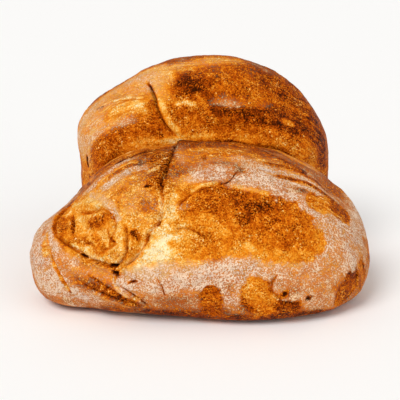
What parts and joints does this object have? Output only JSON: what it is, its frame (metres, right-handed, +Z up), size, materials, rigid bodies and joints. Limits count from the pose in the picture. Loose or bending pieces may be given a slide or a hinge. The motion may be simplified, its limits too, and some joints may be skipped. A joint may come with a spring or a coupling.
{
  "type": "sourdough loaf",
  "caption": "Rustic sourdough loaf, folded in two before baking, with an upper lobe set back on a lower one, a deep crease between them and a flat underside to rest on.",
  "frame": {"origin": "middle of the bounding box's underside, on the surface that the loaf stands on", "axes": "+X along the loaf's length, +Y from the open side of the fold to its closed back, +Z up"},
  "size_m": [0.274, 0.24, 0.176],
  "materials": {
    "crust": "matte baked crust, golden to dark brown, dusted with flour"
  },
  "bodies": {
    "root": {"loaf": "crust"}
  },
  "joints": []
}
